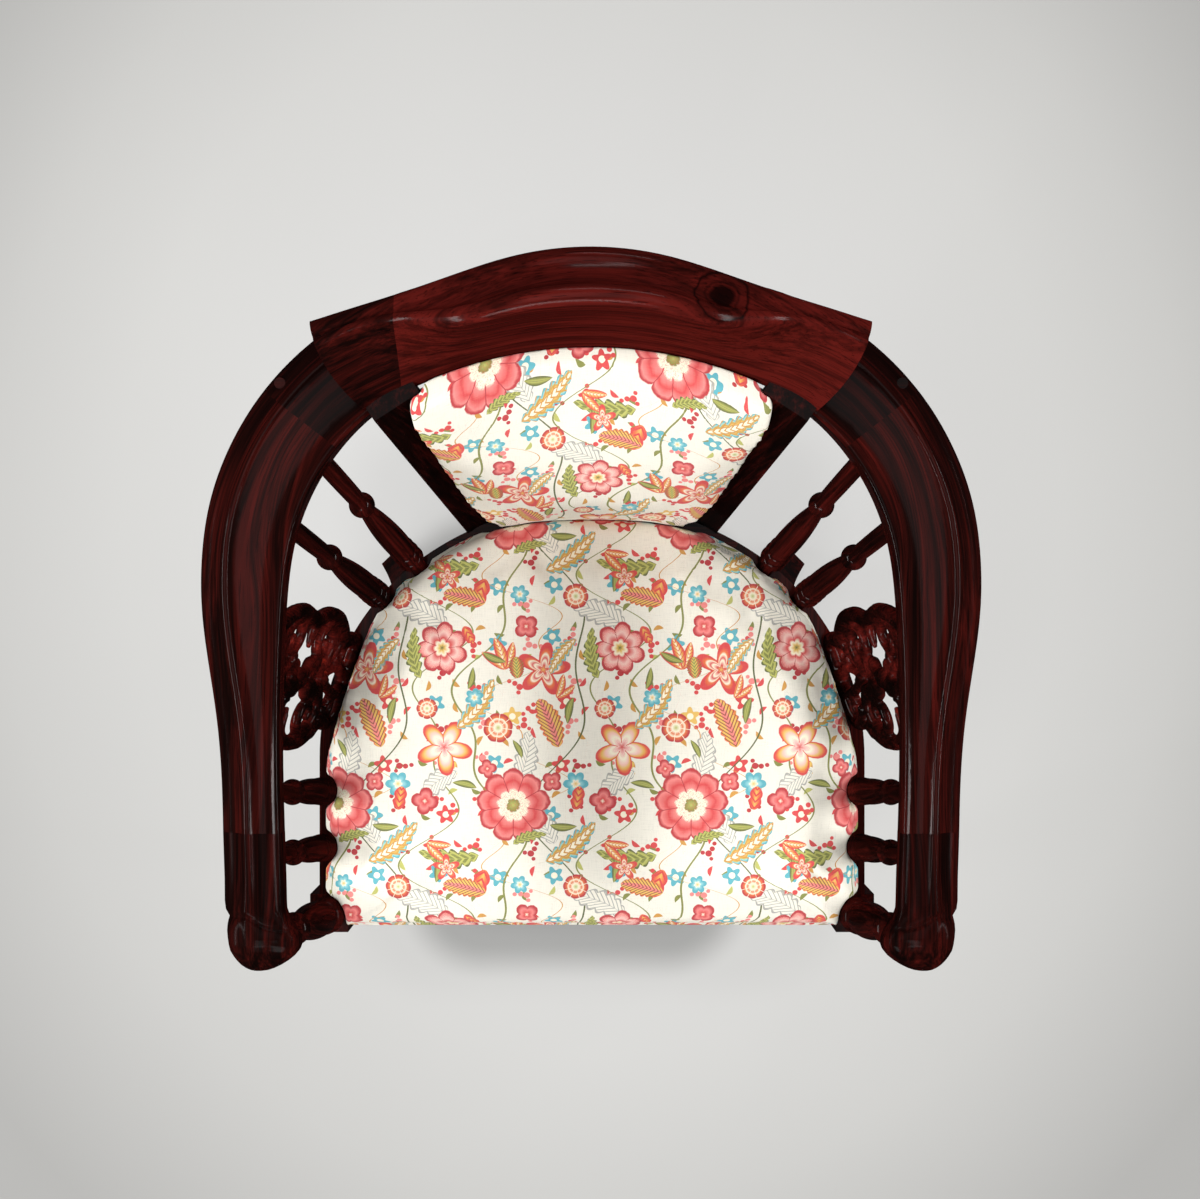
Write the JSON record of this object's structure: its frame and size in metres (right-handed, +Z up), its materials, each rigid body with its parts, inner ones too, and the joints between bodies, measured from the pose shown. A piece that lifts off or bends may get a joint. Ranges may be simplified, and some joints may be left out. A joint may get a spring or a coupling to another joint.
{
  "type": "tub armchair",
  "caption": "Horseshoe back armchair with a moulded arm bow, raised crest, turned spindles, carved splats, upholstered seat and back pad.",
  "frame": {"origin": "on the floor under the middle of the chair's outline", "axes": "+Z up, the chair faces -Y, +X to the right seen from the front"},
  "size_m": [0.6662, 0.6, 0.84],
  "materials": {
    "rosewood": "red and black striped rosewood under gloss lacquer",
    "print_fabric": "off-white linen weave with a printed flower pattern",
    "foam": "upholstery foam and wadding",
    "plywood": "bare plywood",
    "beech": "bare beech",
    "lining": "black woven lining cloth",
    "steel": "zinc-plated screws"
  },
  "bodies": {
    "root": {"arm_bow_back": "rosewood", "arm_front_left": "rosewood", "arm_front_right": "rosewood", "arm_side_left": "rosewood", "arm_side_right": "rosewood", "back_bottom_rail": "rosewood", "back_outer_panel": "print_fabric", "back_pad_cover": "print_fabric", "back_pad_foam": "foam", "back_panel": "plywood", "back_stile_left": "rosewood", "back_stile_right": "rosewood", "bottom_lining": "lining", "bow_dowels": "beech", "carved_splat_left": "rosewood", "carved_splat_right": "rosewood", "corner_block_front_left": "beech", "corner_block_front_right": "beech", "corner_block_rear_left": "beech", "corner_block_rear_right": "beech", "crest_center": "rosewood", "crest_dowels": "beech", "crest_end_left": "rosewood", "crest_end_right": "rosewood", "front_baluster_left": "rosewood", "front_baluster_right": "rosewood", "front_leg_left": "rosewood", "front_leg_right": "rosewood", "rail_dowels": "beech", "rear_leg_left": "rosewood", "rear_leg_right": "rosewood", "screw_plugs": "rosewood", "seat_board": "plywood", "seat_cover": "print_fabric", "seat_foam": "foam", "seat_rail_back": "rosewood", "seat_rail_front": "rosewood", "seat_rail_side_left": "rosewood", "seat_rail_side_right": "rosewood", "seat_screws": "steel", "spindle_back_inner_left": "rosewood", "spindle_back_inner_right": "rosewood", "spindle_back_outer_left": "rosewood", "spindle_back_outer_right": "rosewood", "spindle_front_inner_left": "rosewood", "spindle_front_inner_right": "rosewood", "spindle_front_outer_left": "rosewood", "spindle_front_outer_right": "rosewood", "stile_screws": "steel"}
  },
  "joints": []
}
